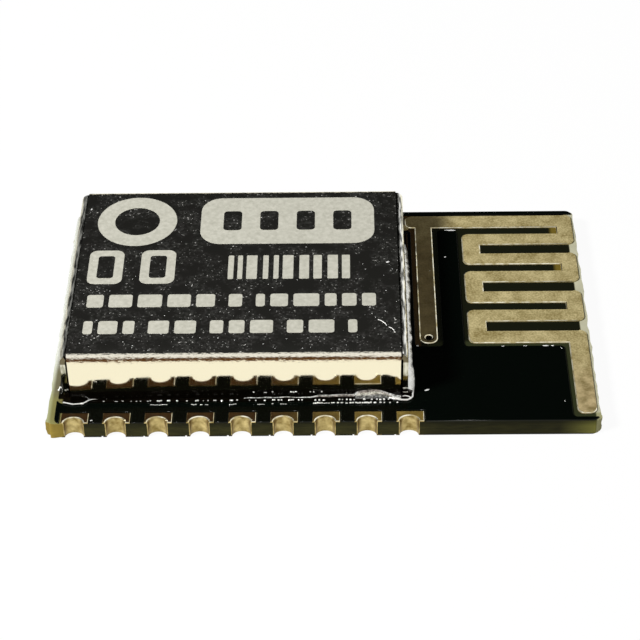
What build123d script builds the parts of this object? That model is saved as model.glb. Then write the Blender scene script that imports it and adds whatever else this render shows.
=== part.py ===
from build123d import *
from collections import namedtuple
import os

os.makedirs("parts", exist_ok=True)

# Radio module that is soldered flat onto a main board: a thin laminate with plated half holes
# along both long edges, a folded shield can over the circuit and a meander antenna beside it.
# The origin is the centre of the underside, +X runs towards the antenna, +Z out of the can.

# Board
board_length = 19.8
board_width = 12.3
core_thickness = 0.60
board_corner = 0.25
skin = 0.05  # copper, gold or solder mask on either face of the core
foil = 0.03  # copper that runs under the mask
mask_gap = 0.06  # bare core between a land and the mask
mask_left_setback = 0.26
mask_right_setback = 0.08

# Plated half holes on the long edges
front_pad_count = 9
back_pad_count = 8  # the antenna's first arm takes the ninth place
pad_pitch = 1.5
first_pad_inset = 0.95
hole_radius = 0.34
plating = 0.03
pad_width = 0.93
top_pad_depth = 0.51
bottom_pad_depth = 0.90

# Shield can, folded from one sheet
can_length = 12.5
can_height = 1.95
can_sheet = 0.18
can_bend = 0.27  # outside radius
can_left_margin = 0.45
can_front_margin = 1.25
can_back_margin = 1.05
can_foot_corner = 0.12
can_land_inside = 0.10
can_land_outside = 0.15
bead_width = 0.13
bead_height = 0.30
fillet_hollow = 0.17  # how hollow a solder fillet is, as a share of its shorter side

# Antenna
antenna_gap = 0.51  # from the can to the feed leg
feed_leg_width = 0.67
feed_leg_end = 0.30  # radius of its front corners
first_arm_width = 0.78
first_arm_overrun = 0.38
arm_count = 7
arm_width = 0.70
arm_gap_right = 0.40
arm_gap_left = 0.54
meander_gap = 1.15  # from the feed leg to the arms' left ends
turn_radius = 0.27
right_turn_width = 0.63
end_leg_width = 0.70
antenna_back_margin = 0.27
antenna_right_margin = 0.12
end_leg_front_margin = 0.35
antenna_via_radius = 0.20
antenna_via_wall = 0.04
window_margin = 0.18  # bare core round the antenna
window_corner = 0.16
feed_line_width = 0.30
feed_line_reach = 0.75  # how far the line runs in under the can
feed_line_gap = 0.20

# Ground foil on the underside and the plugs that join it to the top
ground_margin = 0.25
ground_pad_gap = 0.20
ground_reach = 0.35  # past the antenna via
via_radius = 0.12
chip_via_pitch = 1.6

# Parts under the can stand on a film of solder
paste = 0.03
land_margin = 0.05
land_toe = 0.15  # how far a land runs out past its terminal
toe_width = 0.12
toe_height = 0.20
part_room = 0.25  # between the lands of neighbours
wall_room = 0.30  # from a land to the can's wall

# Radio chip with leads on four sides
chip_size = 5.0
chip_height = 0.85
leads_per_side = 8
lead_corner = 0.75  # from the chip's corner to its first lead
lead_length = 0.40
lead_width = 0.23
lead_thickness = 0.20
chip_pad_gap = 0.30  # from the leads to the bare metal pad
chip_pad_corner = 0.35
chip_edge = 0.06
pin_mark_radius = 0.25
pin_mark_depth = 0.05
pin_mark_inset = 0.7

# Crystal in a ceramic case with a welded lid
crystal_length = 2.5
crystal_width = 2.0
crystal_base = 0.42
crystal_lid_height = 0.13
crystal_lid_inset = 0.13
crystal_lid_edge = 0.05
crystal_corner = 0.18
crystal_pad_length = 0.80
crystal_pad_width = 0.70
crystal_pad_thickness = 0.03

# Chip capacitors, inductors and resistors
ChipSize = namedtuple("ChipSize", "length width height end")
end_plating = 0.02
small_chip = ChipSize(length=1.0, width=0.5, height=0.5, end=0.25)
thin_chip = ChipSize(length=1.0, width=0.5, height=0.35, end=0.22)
large_chip = ChipSize(length=1.6, width=0.8, height=0.8, end=0.35)

hair = 0.001  # coordinates closer than this are the same

# Where the board's faces and the can stand
core_top = skin + core_thickness
board_top = core_top + skin
seat = board_top + paste
board_left = -board_length / 2
board_right = board_length / 2
board_front = -board_width / 2
board_back = board_width / 2
can_left = board_left + can_left_margin
can_right = can_left + can_length
can_front = board_front + can_front_margin
can_back = board_back - can_back_margin
can_depth = can_back - can_front
can_x = (can_left + can_right) / 2
can_y = (can_front + can_back) / 2

# Layout under the can, worked in from its walls. The radio chip stands at the back right, with a
# row of parts in front of it and a column of parts beside it. The crystal stands at the back
# left with its pair of capacitors in front of it, and the supply's capacitors at the front left.
room_left = can_left + can_sheet + wall_room
room_right = can_right - can_sheet - wall_room
room_front = can_front + can_sheet + wall_room
room_back = can_back - can_sheet - wall_room
land_length = small_chip.length + 2 * land_toe
land_width = small_chip.width + 2 * land_margin
large_land_length = large_chip.length + 2 * land_toe
large_land_width = large_chip.width + 2 * land_margin
chip_reach = chip_size / 2 + land_toe
row_y = room_front + land_length / 2
row_step = chip_size / 4
column_x = room_right - land_width / 2
column_step = land_length + part_room
chip_x = column_x - land_width / 2 - part_room - chip_reach
chip_y = (room_front + land_length + part_room + room_back) / 2
row_x = chip_x - 1.5 * row_step
column_y = chip_y - chip_reach + land_length / 2
crystal_x = room_left + land_length + part_room / 2
crystal_y = chip_y + (chip_size - crystal_width) / 2
pair_y = crystal_y - crystal_width / 2 - land_margin - part_room - land_width / 2
supply_x = room_left + large_land_length / 2
supply_y = room_front + large_land_width / 2
supply_end = room_left + large_land_length + part_room + land_width / 2

# Size, middle and turn in plan of each chip part
chip_parts = {
    "capacitor_1": (small_chip, crystal_x - column_step / 2, pair_y, 0),
    "capacitor_2": (small_chip, crystal_x + column_step / 2, pair_y, 0),
    "capacitor_3": (small_chip, row_x, row_y, 90),
    "capacitor_4": (small_chip, row_x + row_step, row_y, 90),
    "capacitor_5": (large_chip, supply_x, supply_y, 0),
    "capacitor_6": (small_chip, supply_end, row_y, 90),
    "inductor_1": (small_chip, column_x, column_y + 2 * column_step, 90),
    "inductor_2": (small_chip, column_x, column_y + column_step, 90),
    "resistor_1": (thin_chip, row_x + 2 * row_step, row_y, 90),
    "resistor_2": (thin_chip, row_x + 3 * row_step, row_y, 90),
    "resistor_3": (thin_chip, column_x, column_y, 90),
}


def save(part, name):
    part.label = name
    export_step(part, f"parts/{name}.step")


def plan_plane(x, y, z, turn=0):
    # A level plane at a place, turned in plan.
    return Plane(origin=(x, y, z), x_dir=Vector(1, 0, 0).rotate(Axis.Z, turn), z_dir=(0, 0, 1))


# Castellated pads. Each is one plated piece: a land on the top face, the half barrel down the
# board's edge and a longer land on the underside. The front row faces -Y, the back row +Y.
pad_xs = [board_left + first_pad_inset + n * pad_pitch for n in range(front_pad_count)]
pad_rows = {
    "front": (board_front, 0, pad_xs),
    "back": (board_back, 180, pad_xs[:back_pad_count]),
}
drill_radius = hole_radius + plating


def castellated_pad(x, y, turn):
    # Local +Y points into the board, from the middle of the half hole.
    with BuildPart() as pad:
        for height, depth in ((0, bottom_pad_depth), (core_top, top_pad_depth)):
            with BuildSketch(plan_plane(x, y, height, turn)):
                Rectangle(pad_width, depth, align=(Align.CENTER, Align.MIN))
                Circle(hole_radius, mode=Mode.SUBTRACT)
            extrude(amount=skin)
        with BuildSketch(plan_plane(x, y, 0, turn)):
            Circle(drill_radius)
            Circle(hole_radius, mode=Mode.SUBTRACT)
            Rectangle(2 * drill_radius, drill_radius, align=(Align.CENTER, Align.MIN), mode=Mode.INTERSECT)
        extrude(amount=board_top)
    return pad.part


for row, (row_y, turn, row_xs) in pad_rows.items():
    for number, pad_x in enumerate(row_xs, start=1):
        save(castellated_pad(pad_x, row_y, turn), f"{row}_pad_{number}")

# Antenna. The first arm runs along the back edge from the feed leg. Each later arm lies a gap
# nearer the front, joined by turns at the right and the left in turn, and the end leg runs on
# from the last arm to the front edge.
feed_leg_left = can_right + antenna_gap
feed_leg_right = feed_leg_left + feed_leg_width
meander_left = feed_leg_right + meander_gap
antenna_right = board_right - antenna_right_margin
antenna_back = board_back - antenna_back_margin
first_arm_left = feed_leg_left - first_arm_overrun
first_arm_front = antenna_back - first_arm_width


def arm_back(number):
    # Back edge of an arm, where the first arm is number 0.
    if number == 0:
        return antenna_back
    gaps = (number + 1) // 2 * arm_gap_right + number // 2 * arm_gap_left
    return first_arm_front - gaps - (number - 1) * arm_width


def arm_front(number):
    return arm_back(number) - (first_arm_width if number == 0 else arm_width)


def strip(left, right, front, back):
    # An upright rectangle from its four sides.
    with Locations(((left + right) / 2, (front + back) / 2)):
        Rectangle(right - left, back - front)


antenna_front = arm_front(arm_count - 1)
end_leg_front = board_front + end_leg_front_margin
end_leg_left = antenna_right - end_leg_width
antenna_via = (feed_leg_left + feed_leg_width / 2, antenna_front + feed_leg_width / 2)

with BuildPart() as antenna_trace:
    with BuildSketch(Plane.XY.offset(core_top)) as trace_outline:
        strip(feed_leg_left, feed_leg_right, antenna_front, antenna_back)
        strip(first_arm_left, antenna_right, arm_front(0), arm_back(0))
        for arm in range(1, arm_count):
            strip(meander_left, antenna_right, arm_front(arm), arm_back(arm))
        for arm in range(0, arm_count - 1, 2):
            strip(antenna_right - right_turn_width, antenna_right, arm_front(arm + 1), arm_back(arm))
        for arm in range(1, arm_count - 1, 2):
            strip(meander_left, meander_left + arm_width, arm_front(arm + 1), arm_back(arm))
        strip(end_leg_left, antenna_right, end_leg_front, arm_back(arm_count - 1))
        turns = trace_outline.vertices().filter_by(
            lambda corner: min(abs(corner.X - meander_left), abs(corner.X - antenna_right)) < hair
        )
        fillet(turns, turn_radius)
        inner_end_corner = trace_outline.vertices().group_by(Axis.Y)[0].sort_by(Axis.X)[0]
        fillet(inner_end_corner, turn_radius)
        feed_leg_foot = trace_outline.vertices().filter_by(
            lambda corner: corner.X < feed_leg_right + hair and corner.Y < antenna_front + hair
        )
        fillet(feed_leg_foot, feed_leg_end)
        fillet(trace_outline.vertices().group_by(Axis.X)[0], turn_radius)
        with Locations(antenna_via):
            Circle(antenna_via_radius, mode=Mode.SUBTRACT)
    extrude(amount=skin)
save(antenna_trace.part, "antenna_trace")

# The plated via that grounds the feed leg's lower end, from the antenna to the ground foil.
with BuildPart() as antenna_via_barrel:
    with BuildSketch(Plane.XY.offset(skin - foil)):
        with Locations(antenna_via):
            Circle(antenna_via_radius)
            Circle(antenna_via_radius - antenna_via_wall, mode=Mode.SUBTRACT)
    extrude(amount=board_top - skin + foil)
save(antenna_via_barrel.part, "antenna_via")

# The feed line leaves the circuit under the can's open back right corner, runs below the mask
# and meets the end of the first arm.
feed_line_inner = (can_right - feed_line_reach, can_back - feed_line_reach)
feed_line_outer = (feed_leg_left, (arm_front(0) + arm_back(0)) / 2)


def feed_line_band(width):
    # The feed line's route as a flat band of a given width.
    with BuildSketch(Plane.XY.offset(core_top)) as band:
        with BuildLine():
            Line(feed_line_inner, feed_line_outer)
        trace(line_width=width)
    return band.sketch


with BuildPart() as rf_feed_line:
    extrude(feed_line_band(feed_line_width), amount=foil)
    add(antenna_trace.part, mode=Mode.SUBTRACT)
save(rf_feed_line.part, "rf_feed_line")


def can_ring(grow):
    # The ring under the can's walls, open where the feed line passes, larger by a margin.
    outside = 2 * (can_land_outside + grow)
    inside = 2 * (can_sheet + can_land_inside + grow)
    with BuildPart() as ring:
        with BuildSketch(plan_plane(can_x, can_y, core_top)):
            RectangleRounded(can_length + outside, can_depth + outside, can_bend)
            Rectangle(can_length - inside, can_depth - inside, mode=Mode.SUBTRACT)
        extrude(amount=skin)
        gap = feed_line_band(feed_line_width + 2 * feed_line_gap - 2 * grow)
        extrude(gap, amount=skin, mode=Mode.SUBTRACT)
    return ring.part


# Land that the can's walls stand on.
shield_land = can_ring(0)
save(shield_land, "shield_land")

# Shield can: a flat top with four walls folded down. The folds end at the flat top's corners,
# so each corner of the can stays open as a narrow upright slit.
flat_length = can_length - 2 * can_bend
flat_depth = can_depth - 2 * can_bend
can_walls = {
    "front": (Vector(can_x, can_front, board_top), Vector(0, -1, 0), flat_length),
    "right": (Vector(can_right, can_y, board_top), Vector(1, 0, 0), flat_depth),
    "back": (Vector(can_x, can_back, board_top), Vector(0, 1, 0), flat_length),
    "left": (Vector(can_left, can_y, board_top), Vector(-1, 0, 0), flat_depth),
}


def wall_plane(foot, outward):
    # Upright plane across a wall: local X points out of the can, local Y up.
    return Plane(origin=foot, x_dir=outward, z_dir=outward.cross(Vector(0, 0, 1)))


with BuildPart() as shield_can:
    with BuildSketch(plan_plane(can_x, can_y, board_top + can_height - can_sheet)):
        Rectangle(flat_length, flat_depth)
    extrude(amount=can_sheet)
    for foot, outward, wall_length in can_walls.values():
        with BuildSketch(wall_plane(foot, outward)):
            with BuildLine():
                outer_face = Line((0, 0), (0, can_height - can_bend))
                outer_bend = JernArc(outer_face @ 1, outer_face % 1, can_bend, 90)
                fold_edge = Line(outer_bend @ 1, (-can_bend, can_height - can_sheet))
                inner_bend = JernArc(fold_edge @ 1, (1, 0), can_bend - can_sheet, -90)
                inner_face = Line(inner_bend @ 1, (-can_sheet, 0))
                Line(inner_face @ 1, outer_face @ 0)
            make_face()
        extrude(amount=wall_length / 2, both=True)
    foot_edges = shield_can.edges().group_by(Axis.Z)[0]
    corner_edges = foot_edges.filter_by(lambda edge: edge.length < 2 * can_sheet)
    fillet(corner_edges, can_foot_corner)
save(shield_can.part, "shield_can")


# Solder beads in the corner between the can's walls and the land outside them. The right and
# back beads stop short of the corner where the feed line passes.
def solder_fillet(plane, length, width, height):
    # A hollow fillet of solder, as long on either side of the plane.
    hollow = min(width, height) * fillet_hollow
    with BuildPart() as bead:
        with BuildSketch(plane):
            with BuildLine():
                toe = Line((0, 0), (width, 0))
                face = SagittaArc(toe @ 1, (0, height), hollow)
                Line(face @ 1, toe @ 0)
            make_face()
        extrude(amount=length / 2, both=True)
    return bead.part


bead_stop = feed_line_width + 2 * feed_line_gap
for side, (foot, outward, wall_length) in can_walls.items():
    along = Vector(0, 0, 1).cross(outward)
    shift = {"right": -along, "back": along}.get(side, Vector(0, 0, 0)) * (bead_stop / 2)
    length = wall_length - (bead_stop if side in ("right", "back") else 0)
    bead = solder_fillet(wall_plane(foot + shift, outward), length, bead_width, bead_height)
    save(bead, f"shield_solder_{side}")


# Chip capacitors, inductors and resistors: a ceramic block in a plated cup at either end.
def chip_part_plane(name, height):
    _, x, y, turn = chip_parts[name]
    return plan_plane(x, y, height, turn)


def chip_block(name):
    # The whole part's outer form.
    size = chip_parts[name][0]
    with BuildPart() as block:
        with BuildSketch(chip_part_plane(name, seat)):
            Rectangle(size.length, size.width)
        extrude(amount=size.height)
    return block.part


def chip_body(name):
    # The ceramic, thinner than the cups by their plating.
    size = chip_parts[name][0]
    with BuildPart() as body:
        with BuildSketch(chip_part_plane(name, seat + end_plating)):
            Rectangle(size.length - 2 * end_plating, size.width - 2 * end_plating)
        extrude(amount=size.height - 2 * end_plating)
    return body.part


def chip_ends(name):
    size = chip_parts[name][0]
    with BuildPart() as ends:
        add(chip_block(name))
        with BuildSketch(chip_part_plane(name, seat)):
            Rectangle(size.length - 2 * size.end, 2 * size.width)
        extrude(amount=size.height, mode=Mode.SUBTRACT)
        add(chip_body(name), mode=Mode.SUBTRACT)
    return ends.part


for kind in ("capacitor", "inductor", "resistor"):
    with BuildPart() as plated_ends:
        for name in chip_parts:
            if name.startswith(kind):
                save(chip_body(name), name)
                add(chip_ends(name))
    save(plated_ends.part, f"{kind}_ends")

# Radio chip: a moulded block with a row of leads let into its underside along each side and a
# bare metal pad in the middle.
lead_pitch = (chip_size - 2 * lead_corner) / (leads_per_side - 1)
chip_pad_size = chip_size - 2 * (lead_length + chip_pad_gap)

with BuildPart() as radio_chip_leads:
    for turn in range(0, 360, 90):
        with BuildSketch(plan_plane(chip_x, chip_y, seat, turn)):
            with Locations(((chip_size - lead_length) / 2, 0)):
                with GridLocations(0, lead_pitch, 1, leads_per_side):
                    Rectangle(lead_length, lead_width)
        extrude(amount=lead_thickness)
save(radio_chip_leads.part, "radio_chip_leads")

with BuildPart() as radio_chip_pad:
    with BuildSketch(plan_plane(chip_x, chip_y, seat)) as pad_outline:
        Rectangle(chip_pad_size, chip_pad_size)
        pin_one = pad_outline.vertices().group_by(Axis.X)[0].sort_by(Axis.Y)[-1]
        chamfer(pin_one, chip_pad_corner)
    extrude(amount=lead_thickness)
save(radio_chip_pad.part, "radio_chip_pad")

with BuildPart() as radio_chip:
    with BuildSketch(plan_plane(chip_x, chip_y, seat)):
        Rectangle(chip_size, chip_size)
    extrude(amount=chip_height)
    chamfer(radio_chip.edges().group_by(Axis.Z)[-1], chip_edge)
    with BuildSketch(plan_plane(chip_x, chip_y, seat + chip_height)):
        with Locations((pin_mark_inset - chip_size / 2, chip_size / 2 - pin_mark_inset)):
            Circle(pin_mark_radius)
    extrude(amount=-pin_mark_depth, mode=Mode.SUBTRACT)
    add(radio_chip_leads.part, mode=Mode.SUBTRACT)
    add(radio_chip_pad.part, mode=Mode.SUBTRACT)
save(radio_chip.part, "radio_chip")

# Crystal: a ceramic case with a quarter-round notch at each corner, a welded lid and four
# terminals that lift it off the board.
crystal_seat = seat + crystal_pad_thickness
with BuildPart() as crystal_case:
    with BuildSketch(plan_plane(crystal_x, crystal_y, crystal_seat)):
        Rectangle(crystal_length, crystal_width)
        with GridLocations(crystal_length, crystal_width, 2, 2):
            Circle(crystal_corner, mode=Mode.SUBTRACT)
    extrude(amount=crystal_base)
save(crystal_case.part, "crystal_case")

with BuildPart() as crystal_lid:
    with BuildSketch(plan_plane(crystal_x, crystal_y, crystal_seat + crystal_base)):
        lid_length = crystal_length - 2 * crystal_lid_inset
        lid_width = crystal_width - 2 * crystal_lid_inset
        RectangleRounded(lid_length, lid_width, crystal_corner)
    extrude(amount=crystal_lid_height)
    chamfer(crystal_lid.edges().group_by(Axis.Z)[-1], crystal_lid_edge)
save(crystal_lid.part, "crystal_lid")


def crystal_pads(grow):
    # The four rectangles under the crystal, larger all round by a margin.
    spread_x = crystal_length - crystal_pad_length
    spread_y = crystal_width - crystal_pad_width
    with Locations((crystal_x, crystal_y)):
        with GridLocations(spread_x, spread_y, 2, 2):
            Rectangle(crystal_pad_length + 2 * grow, crystal_pad_width + 2 * grow)


with BuildPart() as crystal_terminals:
    with BuildSketch(Plane.XY.offset(seat)):
        crystal_pads(0)
        with Locations((crystal_x, crystal_y)):
            with GridLocations(crystal_length, crystal_width, 2, 2):
                Circle(crystal_corner, mode=Mode.SUBTRACT)
    extrude(amount=crystal_pad_thickness)
save(crystal_terminals.part, "crystal_terminals")


# Lands of the parts under the can. The mask's windows are the same outlines, a gap larger, but
# a row of leads shares one window.
def chip_part_lands(grow):
    for size, x, y, turn in chip_parts.values():
        with Locations(Location((x, y, 0), (0, 0, turn))):
            with GridLocations(size.length - size.end + land_toe, 0, 2, 1):
                Rectangle(size.end + land_toe + 2 * grow, size.width + 2 * land_margin + 2 * grow)


lead_land = lead_length + land_toe
lead_row = (leads_per_side - 1) * lead_pitch + lead_width


def radio_chip_lands(grow, count, width):
    # The chip's bare pad, and along each side a rectangle for every lead or one for the row.
    with Locations((chip_x, chip_y)):
        Rectangle(chip_pad_size + 2 * grow, chip_pad_size + 2 * grow)
    for turn in range(0, 360, 90):
        with Locations(Location((chip_x, chip_y, 0), (0, 0, turn))):
            with Locations((chip_reach - lead_land / 2, 0)):
                with GridLocations(0, lead_pitch, 1, count):
                    Rectangle(lead_land + 2 * grow, width + 2 * grow)


with BuildPart() as component_lands:
    with BuildSketch(Plane.XY.offset(core_top)):
        chip_part_lands(0)
        radio_chip_lands(0, leads_per_side, lead_width)
        crystal_pads(land_margin)
    extrude(amount=skin)
save(component_lands.part, "component_lands")

# Solder under the parts: a film under every terminal, with a sloping toe at the ends of the
# chip capacitors, inductors and resistors.
with BuildPart() as component_solder:
    with BuildSketch(Plane.XY.offset(board_top)):
        for size, x, y, turn in chip_parts.values():
            with Locations(Location((x, y, 0), (0, 0, turn))):
                with GridLocations(size.length - size.end, 0, 2, 1):
                    Rectangle(size.end, size.width)
        crystal_pads(0)
    extrude(amount=paste)
    for size, x, y, turn in chip_parts.values():
        for heading in (turn, turn + 180):
            outward = Vector(1, 0, 0).rotate(Axis.Z, heading)
            end_face = Vector(x, y, board_top) + outward * (size.length / 2)
            with BuildSketch(wall_plane(end_face, outward)):
                Polygon((0, 0), (toe_width, 0), (0, toe_height), align=None)
            extrude(amount=size.width / 2, both=True)
    for metal in (radio_chip_leads, radio_chip_pad):
        extrude(metal.faces().group_by(Axis.Z)[0], amount=paste, dir=(0, 0, -1))
save(component_solder.part, "component_solder")

# Ground foil under the bottom mask, back from the antenna and clear of the bottom pads.
ground_right = antenna_via[0] + ground_reach
ground_front = board_front + ground_margin
ground_back = board_back - ground_margin


def pad_rectangles(width, depth):
    # One rectangle at each castellated pad, the same depth on either side of the board's edge.
    for row_y, _, row_xs in pad_rows.values():
        for x in row_xs:
            strip(x - width / 2, x + width / 2, row_y - depth, row_y + depth)


with BuildPart() as ground_foil:
    with BuildSketch(Plane.XY.offset(skin - foil)):
        strip(board_left + ground_margin, ground_right, ground_front, ground_back)
        with Locations(antenna_via):
            Circle(antenna_via_radius, mode=Mode.SUBTRACT)
    extrude(amount=foil)
    with BuildSketch(Plane.XY.offset(skin - foil)):
        pad_rectangles(pad_width + 2 * ground_pad_gap, bottom_pad_depth + ground_pad_gap)
    extrude(amount=foil, mode=Mode.SUBTRACT)
save(ground_foil.part, "ground_foil")

# Filled plugs from the ground foil up to the chip's land and to the can's land ring.
rim_y = can_sheet / 2
with BuildSketch(Plane.XY.offset(skin)) as plug_outline:
    with Locations((can_x, can_front + rim_y), (can_x, can_back - rim_y)):
        Circle(via_radius)
    with Locations((chip_x, chip_y)):
        with GridLocations(chip_via_pitch, 0, 2, 1):
            Circle(via_radius)

with BuildPart() as ground_vias:
    extrude(plug_outline.sketch, amount=core_thickness)
save(ground_vias.part, "ground_vias")

# Laminate core, with the drilled half holes and via holes.
with BuildPart() as laminate_core:
    with BuildSketch(Plane.XY.offset(skin)):
        RectangleRounded(board_length, board_width, board_corner)
        with Locations(*[(x, row_y) for row_y, _, row_xs in pad_rows.values() for x in row_xs]):
            Circle(drill_radius, mode=Mode.SUBTRACT)
        with Locations(antenna_via):
            Circle(antenna_via_radius, mode=Mode.SUBTRACT)
    extrude(amount=core_thickness)
    add(ground_vias.part, mode=Mode.SUBTRACT)
save(laminate_core.part, "laminate_core")


# Solder mask. Both films stop short of the board's broken-off ends.
def mask_film():
    mask_width = board_length - mask_left_setback - mask_right_setback
    with Locations(((mask_left_setback - mask_right_setback) / 2, 0)):
        RectangleRounded(mask_width, board_width, board_corner)


def antenna_window():
    # Bare core round the feed leg, between the arms and beside the end leg.
    margin = window_margin
    right = board_right + board_corner
    back = antenna_back + mask_gap
    with BuildSketch(mode=Mode.PRIVATE) as window:
        strip(feed_leg_left - margin, feed_leg_right + margin, antenna_front - margin, back)
        strip(first_arm_left - margin, right, arm_front(0) - margin, back)
        strip(meander_left - margin, right, antenna_front - margin, back)
        strip(end_leg_left - margin, right, end_leg_front - margin, back)
        fillet(window.vertices(), window_corner)
    return window.sketch


with BuildPart() as bottom_solder_mask:
    with BuildSketch():
        mask_film()
    extrude(amount=skin)
    with BuildSketch():
        pad_rectangles(pad_width + 2 * mask_gap, bottom_pad_depth + mask_gap)
    extrude(amount=skin, mode=Mode.SUBTRACT)
    add([ground_foil.part, antenna_via_barrel.part], mode=Mode.SUBTRACT)
save(bottom_solder_mask.part, "bottom_solder_mask")

with BuildPart() as top_solder_mask:
    with BuildSketch(Plane.XY.offset(core_top)):
        mask_film()
        add(antenna_window(), mode=Mode.SUBTRACT)
    extrude(amount=skin)
    with BuildSketch(Plane.XY.offset(core_top)):
        pad_rectangles(pad_width + 2 * mask_gap, top_pad_depth + mask_gap)
        chip_part_lands(mask_gap)
        radio_chip_lands(mask_gap, 1, lead_row)
        crystal_pads(land_margin + mask_gap)
    extrude(amount=skin, mode=Mode.SUBTRACT)
    add([can_ring(mask_gap), rf_feed_line.part], mode=Mode.SUBTRACT)
save(top_solder_mask.part, "top_solder_mask")
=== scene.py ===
import math
import random

import bmesh
import bpy
from mathutils import Matrix, Vector, noise


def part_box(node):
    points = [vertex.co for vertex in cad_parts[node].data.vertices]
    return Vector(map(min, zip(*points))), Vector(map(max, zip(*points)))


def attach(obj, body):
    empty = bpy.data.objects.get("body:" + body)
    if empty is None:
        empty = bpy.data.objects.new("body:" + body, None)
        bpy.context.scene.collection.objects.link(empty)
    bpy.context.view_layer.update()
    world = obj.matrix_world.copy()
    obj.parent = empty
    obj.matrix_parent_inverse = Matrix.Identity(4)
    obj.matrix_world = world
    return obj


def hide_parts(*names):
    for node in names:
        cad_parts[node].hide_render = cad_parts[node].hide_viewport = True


# The looks of a radio module that is soldered flat onto a main board. The sections follow the
# module as it is made: board, mask, gold, copper, parts, shield can, solder, laser marks, dust.
# Places are in metres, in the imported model's frame.
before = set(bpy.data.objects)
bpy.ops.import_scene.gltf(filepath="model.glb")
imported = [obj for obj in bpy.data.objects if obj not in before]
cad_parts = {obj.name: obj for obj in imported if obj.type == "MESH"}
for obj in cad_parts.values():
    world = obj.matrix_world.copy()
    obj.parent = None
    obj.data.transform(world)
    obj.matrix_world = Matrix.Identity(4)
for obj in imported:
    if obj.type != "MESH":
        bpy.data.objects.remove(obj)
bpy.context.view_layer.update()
MM = 0.001


# The photograph's view and the table. The module lies on white card under a lamp at its front
# left, in a room that is brown in front, bright overhead and dark behind: the metal mirrors it.
def colour(code):
    """An sRGB hex code as the linear colour that a shader socket takes."""
    parts = [int(code[place : place + 2], 16) / 255 for place in (0, 2, 4)]
    linear = [part / 12.92 if part <= 0.04045 else ((part + 0.055) / 1.055) ** 2.4 for part in parts]
    return (*linear, 1.0)


def add_node(tree, kind, inputs=(), **settings):
    """Add a shader node, set it, and give its inputs values or other nodes' outputs."""
    made = tree.nodes.new(kind)
    for name, value in settings.items():
        setattr(made, name, value)
    for name, value in dict(inputs).items():
        if isinstance(value, bpy.types.NodeSocket):
            tree.links.new(value, made.inputs[name])
        else:
            made.inputs[name].default_value = value
    return made


def blend(tree, share, first, second):
    """Blend two colours, each a hex code or a socket, by a share, and give the result's socket."""
    first, second = (colour(item) if isinstance(item, str) else item for item in (first, second))
    return add_node(tree, "ShaderNodeMix", {0: share, 6: first, 7: second}, data_type="RGBA").outputs[2]


def between(tree, value, low, high, at_low=0.0, at_high=1.0):
    """Map a value from one range to another and hold it at the ends."""
    ends = {"Value": value, "From Min": low, "From Max": high, "To Min": at_low, "To Max": at_high}
    return add_node(tree, "ShaderNodeMapRange", ends).outputs[0]


def combine(tree, operation, first, second):
    return add_node(tree, "ShaderNodeMath", {0: first, 1: second}, operation=operation).outputs[0]


camera_data = bpy.data.cameras.new("photo_camera")
camera_data.sensor_width = 36
camera_data.lens = 118.7
camera_data.clip_start = 1 * MM
camera = bpy.data.objects.new("photo_camera", camera_data)
heading = Matrix.Rotation(math.radians(0.991), 4, "Z")
tilt = Matrix.Rotation(math.radians(50.015), 4, "X")
roll = Matrix.Rotation(math.radians(-1.06), 4, "Z")
camera.matrix_world = Matrix.Translation((0.89 * MM, -61.39 * MM, 51.74 * MM)) @ heading @ tilt @ roll
bpy.context.collection.objects.link(camera)
bpy.context.scene.camera = camera
bpy.context.scene.view_settings.view_transform = "Standard"

# White card: matt paper, lit so that it shows as plain white with a faint shadow at the board.
white_card = bpy.data.materials.new("white_card_matt_paper")
white_card.use_nodes = True
tree = white_card.node_tree
tree.nodes.remove(tree.nodes["Principled BSDF"])
path = add_node(tree, "ShaderNodeLightPath")
seen = combine(tree, "MAXIMUM", path.outputs["Is Camera Ray"], path.outputs["Is Glossy Ray"])
paper = add_node(tree, "ShaderNodeBsdfDiffuse", {"Color": colour("F2F2F0")})
mirrored = blend(tree, path.outputs["Is Glossy Ray"], "FFFFFF", "FFFBE6")
glow = add_node(tree, "ShaderNodeEmission", {"Color": mirrored, "Strength": 1.0})
share = combine(tree, "MULTIPLY", seen, 0.95)
mixed = add_node(tree, "ShaderNodeMixShader", {0: share, 1: paper.outputs[0], 2: glow.outputs[0]})
tree.links.new(mixed.outputs[0], tree.nodes["Material Output"].inputs["Surface"])

card_shape = bmesh.new()
bmesh.ops.create_grid(card_shape, x_segments=1, y_segments=1, size=0.75)
bmesh.ops.translate(card_shape, vec=(0, 0, -0.002 * MM), verts=card_shape.verts)
card_mesh = bpy.data.meshes.new("white_card")
card_shape.to_mesh(card_mesh)
card_shape.free()
card_mesh.materials.append(white_card)
card = bpy.data.objects.new("white_card", card_mesh)
bpy.context.collection.objects.link(card)

# The room: its light changes from the front horizon over the ceiling to the back horizon, with a
# bright wall at the right and a grey one at the left.
room = bpy.data.worlds.new("room")
bpy.context.scene.world = room
room.use_nodes = True
tree = room.node_tree
tree.nodes.clear()
direction = add_node(tree, "ShaderNodeTexCoord").outputs["Generated"]
along_x, along_y, along_z = add_node(tree, "ShaderNodeSeparateXYZ", {0: direction}).outputs
toward_front = combine(tree, "MULTIPLY", along_y, -1.0)
height_angle = combine(tree, "ARCTAN2", along_z, toward_front)
turn = combine(tree, "DIVIDE", height_angle, math.pi)
bands = add_node(tree, "ShaderNodeValToRGB", {0: turn})
room_bands = (
    (0.00, "74502A"), (0.12, "624120"), (0.28, "4A2E16"), (0.32, "DAD4C8"),
    (0.38, "FFFFFC"), (0.60, "FFFFFC"), (0.69, "D6D6D2"), (0.73, "262624"),
    (0.80, "181816"), (0.92, "181816"), (1.00, "60625C"),
)
ramp = bands.color_ramp
while len(ramp.elements) < len(room_bands):
    ramp.elements.new(1.0)
for stop, (place, code) in zip(ramp.elements, room_bands):
    stop.position = place
    stop.color = colour(code)
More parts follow.
